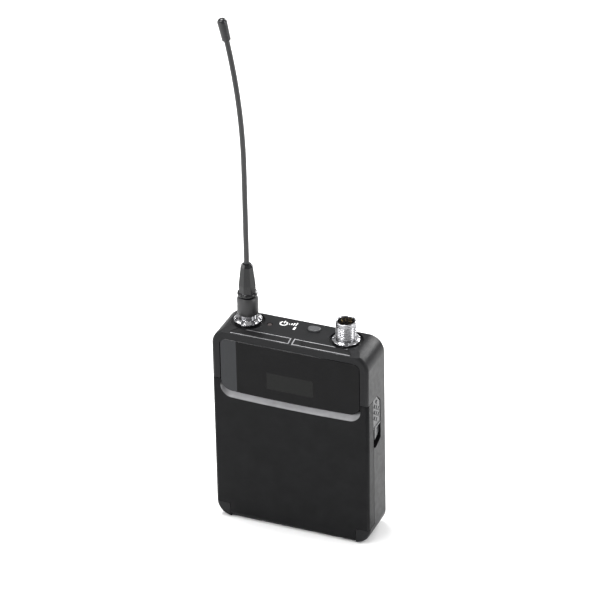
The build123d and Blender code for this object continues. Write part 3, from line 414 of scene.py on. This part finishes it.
NODE_MATERIALS = {
    "main_case": case_paint,
    "back_cover": case_paint,
    "battery_door": door_shade_and_highlight,
    "case_screws": screw_black,
    "clip_screws": screw_black,
    "door_hinge_pin": plain_steel,
    "catch_left": catch_plastic,
    "catch_right": catch_plastic,
    "display_window": window_acrylic_and_reflection,
    "window_gasket": gasket_foam,
    "lcd_frame": tray_plastic,
    "lcd_glass": lcd_film,
    "infrared_sensor": insert_plastic,
    "shoulder_trim": trim_with_painted_highlights,
    "status_led": lens_smoke,
    "power_mute_button": button_rubber,
    "top_board": circuit_board,
    "power_switch": insert_plastic,
    "antenna_jack": turned_steel,
    "antenna_nut": chrome,
    "antenna_sleeve": sleeve_plastic,
    "antenna_boot": boot_plastic,
    "antenna_whip": whip_rubber,
    "antenna_tip": tip_rubber,
    "connector_nut": chrome,
    "connector_insert": insert_plastic,
    "connector_pins": gold,
    "main_pcb": circuit_board,
    "radio_shield": tinned,
    "key_switches": insert_plastic,
    "control_panel": panel_plastic,
    "key_up": key_rubber,
    "key_down": key_rubber,
    "key_set": key_rubber,
    "battery_tray": tray_plastic,
    "cell_left": cell_material("cell_left", True),
    "cell_right": cell_material("cell_right", False),
    "contact_plates": gold,
    "battery_spring_left": plain_steel,
    "battery_spring_right": plain_steel,
    "charging_contacts": gold,
    "clip_bracket": clip_coat,
    "clip_pin": plain_steel,
    "clip_blade": clip_coat,
    "clip_spring": plain_steel,
}

# Small rounded edges, in millimetres, on the pieces whose edges catch the light.
EDGE_ROUNDS = {
    "main_case": 0.2,
    "back_cover": 0.16,
    "battery_door": 0.16,
    "display_window": 0.08,
    "shoulder_trim": 0.08,
    "catch_left": 0.14,
    "catch_right": 0.14,
    "antenna_nut": 0.14,
    "connector_nut": 0.12,
    "antenna_sleeve": 0.10,
    "antenna_boot": 0.16,
    "clip_bracket": 0.12,
    "clip_blade": 0.15,
    "battery_tray": 0.10,
    "control_panel": 0.12,
    "power_mute_button": 0.06,
}


WELD_DISTANCE = 0.002      # vertices closer than this are joined, in millimetres
SHARP_ANGLE = 38           # degrees; softer edges than this are left alone


def soften(obj, round_mm):
    """Rounds an object's hard edges with modifiers."""
    weld = obj.modifiers.new("weld", "WELD")
    weld.merge_threshold = WELD_DISTANCE * MM
    bevel = obj.modifiers.new("bevel", "BEVEL")
    bevel.width = round_mm * MM
    bevel.segments = 2
    bevel.limit_method = "ANGLE"
    bevel.angle_limit = math.radians(SHARP_ANGLE)
    bevel.use_clamp_overlap = True
    bevel.harden_normals = True


for name, material in NODE_MATERIALS.items():
    obj = nodes[name]
    obj.data.materials.clear()
    obj.data.materials.append(material)
    if name in EDGE_ROUNDS:
        soften(obj, EDGE_ROUNDS[name])


# ---------------------------------------------------------------- mesh helpers
def finish_piece(bm, name, body, material, smooth_angle=35):
    """Turns a bmesh into a piece that rides on a CAD body."""
    bmesh.ops.recalc_face_normals(bm, faces=bm.faces)
    mesh = bpy.data.meshes.new(name)
    bm.to_mesh(mesh)
    bm.free()
    obj = bpy.data.objects.new(name, mesh)
    scene.collection.objects.link(obj)
    mesh.materials.append(material)
    for polygon in mesh.polygons:
        polygon.use_smooth = True
    mesh.set_sharp_from_angle(angle=math.radians(smooth_angle))
    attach(obj, body)
    return obj


def lathe(bm, centre, profile, steps, radius_at):
    """Sweeps a closed profile of (radius, height) points round an upright axis.

    radius_at(radius, height, angle) changes the radius, which is how a thread is cut.
    """
    rings = []
    for i in range(steps):
        angle = 2 * math.pi * i / steps
        ring = []
        for radius, height in profile:
            r = radius_at(radius, height, angle)
            offset = Vector((r * math.cos(angle), r * math.sin(angle), height))
            ring.append(bm.verts.new(centre + offset))
        rings.append(ring)
    count = len(profile)
    for i in range(steps):
        here, following = rings[i], rings[(i + 1) % steps]
        for j in range(count):
            k = (j + 1) % count
            bm.faces.new((here[j], following[j], following[k], here[k]))


def plate(bm, outline, plane, thickness):
    """A thin plate with the given outline, a list of 2-D points; plane maps them to 3-D."""
    base = [bm.verts.new(plane @ Vector((x, y, 0))) for x, y in outline]
    top = [bm.verts.new(plane @ Vector((x, y, thickness))) for x, y in outline]
    count = len(outline)
    bm.faces.new(base)
    bm.faces.new(top)
    for i in range(count):
        k = (i + 1) % count
        bm.faces.new((base[i], base[k], top[k], top[i]))


ARC_STEPS = 28
CORNER_STEPS = 6


def arc_points(radius, start, end, steps):
    """Points along an arc, from start to end in degrees."""
    for i in range(steps + 1):
        angle = math.radians(start + (end - start) * i / steps)
        yield radius * math.cos(angle), radius * math.sin(angle)


def ring_arc(radius, width, start, end):
    """The outline of an arc-shaped bar."""
    outer = list(arc_points(radius + width / 2, start, end, ARC_STEPS))
    inner = list(arc_points(radius - width / 2, end, start, ARC_STEPS))
    return outer + inner


def bar(length, width, centre=(0, 0)):
    """The outline of a rectangle."""
    x, y = centre
    return [(x - length / 2, y - width / 2), (x + length / 2, y - width / 2),
            (x + length / 2, y + width / 2), (x - length / 2, y + width / 2)]


def rounded(width, height, radius):
    """The outline of a rectangle with rounded corners."""
    points = []
    for cx, cy, start in ((1, 1, 0), (-1, 1, 90), (-1, -1, 180), (1, -1, 270)):
        for px, py in arc_points(radius, start, start + 90, CORNER_STEPS):
            points.append((cx * (width / 2 - radius) + px, cy * (height / 2 - radius) + py))
    return points


def flat_on_top(x, y, z):
    """A drawing plane on the top of the pack, in metres, with units of a millimetre."""
    return Matrix.Translation((x, y, z)) @ Matrix.Scale(MM, 4)


def facing_front(x, y, z):
    """A drawing plane that faces -Y, with units of a millimetre."""
    turned = Matrix.Rotation(math.radians(90), 4, "X")
    return Matrix.Translation((x, y, z)) @ turned @ Matrix.Scale(MM, 4)


def facing_back(x, y, z):
    """A drawing plane that faces +Y, with units of a millimetre."""
    turned = Matrix.Rotation(math.pi, 4, "Z") @ Matrix.Rotation(math.radians(90), 4, "X")
    return Matrix.Translation((x, y, z)) @ turned @ Matrix.Scale(MM, 4)


# ---------------------------------------------------------------- microphone connector
TUBE_RADIUS = 4.0          # sizes of the connector's tube, in millimetres
TUBE_BORE = 3.3
TUBE_FLANGE = 1.3          # how far the flange below the nut stands out
TUBE_GROOVE = 3.75         # radius of the relief groove above the nut
GROOVE_HEIGHT = 0.6
THREAD_PITCH = 0.75
THREAD_DEPTH = 0.26
THREAD_START = 0.3         # plain length between the groove and the thread
THREAD_END = 1.3           # plain length above the thread, with the rim
ROWS_PER_PITCH = 10
TUBE_STEPS = 120


def connector_tube():
    """The threaded tube of the microphone connector, with a helical thread and a rolled rim."""
    low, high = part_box("connector_shell")
    nut_low, nut_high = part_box("connector_nut")
    centre = Vector(((low.x + high.x) / 2, (low.y + high.y) / 2, 0))
    outer = TUBE_RADIUS * MM
    bore = TUBE_BORE * MM
    flange = outer + TUBE_FLANGE * MM
    groove = TUBE_GROOVE * MM
    groove_low = nut_high.z
    groove_high = nut_high.z + GROOVE_HEIGHT * MM
    pitch = THREAD_PITCH * MM
    depth = THREAD_DEPTH * MM
    thread_low = groove_high + THREAD_START * MM
    thread_high = high.z - THREAD_END * MM
    step = pitch / ROWS_PER_PITCH
    rows = int((thread_high - thread_low) / step)
    profile = [(bore, low.z), (flange, low.z), (flange, nut_low.z - 0.85 * MM)]
    profile += [(outer, nut_low.z - 0.8 * MM), (outer, groove_low)]
    profile += [(groove, groove_low + 0.02 * MM), (groove, groove_high - 0.02 * MM)]
    profile += [(outer, groove_high)]
    profile += [(outer, thread_low + i * step) for i in range(rows + 1)]
    profile += [(outer, thread_high + 0.2 * MM), (outer - 0.06 * MM, thread_high + 0.32 * MM)]
    profile += [(outer, thread_high + 0.44 * MM), (outer, high.z - 0.35 * MM)]
    profile += [(outer - 0.08 * MM, high.z - 0.1 * MM), (outer - 0.28 * MM, high.z)]
    profile += [(bore + 0.2 * MM, high.z), (bore + 0.04 * MM, high.z - 0.12 * MM)]
    profile += [(bore, high.z - 0.4 * MM)]

    def cut(radius, height, angle):
        """The radius with the thread cut into it, running out at both ends."""
        if radius < outer or height < thread_low or height > thread_high:
            return radius
        phase = ((height - thread_low) / pitch - angle / (2 * math.pi)) % 1.0
        wave = 1 - abs(2 * phase - 1)
        ends = min(1.0, (height - thread_low) / pitch, (thread_high - height) / pitch)
        return radius - depth * ends * max(0.0, min(1.0, wave * 1.35 - 0.12))

    bm = bmesh.new()
    lathe(bm, centre, profile, TUBE_STEPS, cut)
    tube = finish_piece(bm, "connector_threaded_tube", "root", turned_steel, smooth_angle=50)
    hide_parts("connector_shell")


connector_tube()


def catch_coil(side):
    """A catch's return spring, which shortens as the catch slides down; here a fixed copy of the
    CAD coil on the root body.
    """
    node = "catch_spring_" + side
    bm = bmesh.new()
    bm.from_mesh(nodes[node].data)
    coil = finish_piece(bm, "catch_coil_" + side, "root", plain_steel, smooth_angle=60)
    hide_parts(node)
    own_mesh(coil)


catch_coil("left")
catch_coil("right")


# ---------------------------------------------------------------- printed marks, all generic
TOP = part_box("main_case")[1].z
INK = 0.02                # thickness of a printed mark, in millimetres


def marks(name, body, plane, outlines, thickness=INK, material=white_ink):
    """One printed piece, made of a thin plate for each outline."""
    bm = bmesh.new()
    for outline in outlines:
        plate(bm, outline, plane, thickness)
    piece = finish_piece(bm, name, body, material)


# power sign, as on any equipment, with four level bars and a status dash beside it
power_sign = [ring_arc(1.35, 0.5, 125, 415), bar(0.5, 1.7, (0, 1.1))]
marks("power_mark", "root", flat_on_top(-7.4 * MM, 3.6 * MM, TOP), power_sign)
level_bars = [bar(0.45, 0.7 + 0.5 * i, (0.9 * i, 0.25 * i)) for i in range(4)]
marks("level_mark", "root", flat_on_top(-5.2 * MM, 3.9 * MM, TOP), level_bars)
marks("status_dash", "root", flat_on_top(-2.2 * MM, 1.6 * MM, TOP), [bar(0.8, 2.0)])

# arrows and a ring on the three keys under the door
for key, outline in (
    ("key_up", [[(-1.3, -0.8), (1.3, -0.8), (0, 1.1)]]),
    ("key_down", [[(-1.3, 0.8), (0, -1.1), (1.3, 0.8)]]),
    ("key_set", [ring_arc(1.0, 0.45, 0, 340)]),
):
    low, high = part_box(key)
    middle = (low + high) / 2
    bodies = frame["record"]["behaviour"]["bodies"]
    body = next(b for b, members in bodies.items() if key in members)
    marks(key + "_mark", body, facing_front(middle.x, low.y, middle.z), outline)

# blank label in the shallow panel on the back
cover_low, cover_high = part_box("back_cover")
label_plane = facing_back(0, cover_high.y - 0.29 * MM, 30 * MM)
marks("back_label", "root", label_plane, [rounded(41, 27, 1.2)],
      thickness=0.12, material=label_film)

# ---------------------------------------------------------------- floor, light and camera
bpy.ops.mesh.primitive_plane_add(size=30, location=(0, 0, 0))
floor = bpy.context.object
floor.name = "floor"
floor_mat, floor_tree, floor_shader, floor_coords = new_material("floor_pale")
floor_shader.inputs["Roughness"].default_value = 0.9
floor_shader.inputs["Specular IOR Level"].default_value = 0.1
floor_cloud = noise(floor_tree, floor_coords, 0.002)
floor_tone = ramp(floor_tree, floor_cloud, 0.3, 0.7, (0.80, 0.80, 0.80), (0.84, 0.84, 0.84))
floor_tree.links.new(floor_tone, floor_shader.inputs["Base Color"])
floor.data.materials.append(floor_mat)
floor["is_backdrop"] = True


def softbox(name, location, target, width, height, power):
    """A rectangular studio light, aimed at a point."""
    data = bpy.data.lights.new(name, "AREA")
    data.shape = "RECTANGLE"
    data.size = width
    data.size_y = height
    data.energy = power
    lamp = bpy.data.objects.new(name, data)
    scene.collection.objects.link(lamp)
    lamp.location = location
    lamp.rotation_euler = (Vector(target) - Vector(location)).to_track_quat("-Z", "Y").to_euler()


AIM = (0, 0, 0.06)
softbox("key_top", (-0.25, 0.1, 0.95), AIM, 0.45, 0.3, 11.0)
softbox("side_right", (0.75, 0.05, 0.35), AIM, 0.25, 0.6, 3.0)
softbox("rim_back", (0.25, 0.8, 0.45), AIM, 0.6, 0.25, 8.0)
softbox("fill_left", (-0.8, -0.35, 0.45), AIM, 0.4, 0.5, 2.5)
softbox("rim_top", (-0.34, -0.65, 0.74), AIM, 0.5, 0.05, 4.0)
softbox("lip_front", (-0.34, -0.94, 0.20), AIM, 0.5, 0.10, 1.5)

world = bpy.data.worlds.new("studio")
scene.world = world
world.use_nodes = True
world.node_tree.nodes["Background"].inputs["Color"].default_value = (1.0, 1.0, 1.0, 1)
world.node_tree.nodes["Background"].inputs["Strength"].default_value = 0.62
scene.view_settings.view_transform = "Standard"
scene.view_settings.look = "None"

VIEW_AZIMUTH = math.radians(23.0)
VIEW_ELEVATION = math.radians(30.3)
VIEW_ROLL = math.radians(-1.2)
VIEW_DISTANCE = 1.56
FOCAL_PER_WIDTH = 6.9      # focal length over sensor width
SENSOR_WIDTH = 36          # millimetres
VIEW_TARGET = Vector((0.001, 0, 0.098))
view_back = Vector((
    math.sin(VIEW_AZIMUTH) * math.cos(VIEW_ELEVATION),
    -math.cos(VIEW_AZIMUTH) * math.cos(VIEW_ELEVATION),
    math.sin(VIEW_ELEVATION),
))
camera_data = bpy.data.cameras.new("camera")
camera_data.sensor_width = SENSOR_WIDTH
camera_data.lens = SENSOR_WIDTH * FOCAL_PER_WIDTH
camera = bpy.data.objects.new("camera", camera_data)
scene.collection.objects.link(camera)
camera.location = VIEW_TARGET + view_back * VIEW_DISTANCE
camera.rotation_mode = "QUATERNION"
aim_turn = (-view_back).to_track_quat("-Z", "Y")
camera.rotation_quaternion = aim_turn @ Matrix.Rotation(VIEW_ROLL, 4, "Z").to_quaternion()
camera_data.clip_start = 0.01
camera_data.clip_end = 60
scene.camera = camera

# ---------------------------------------------------------------- sizes
low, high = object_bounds()
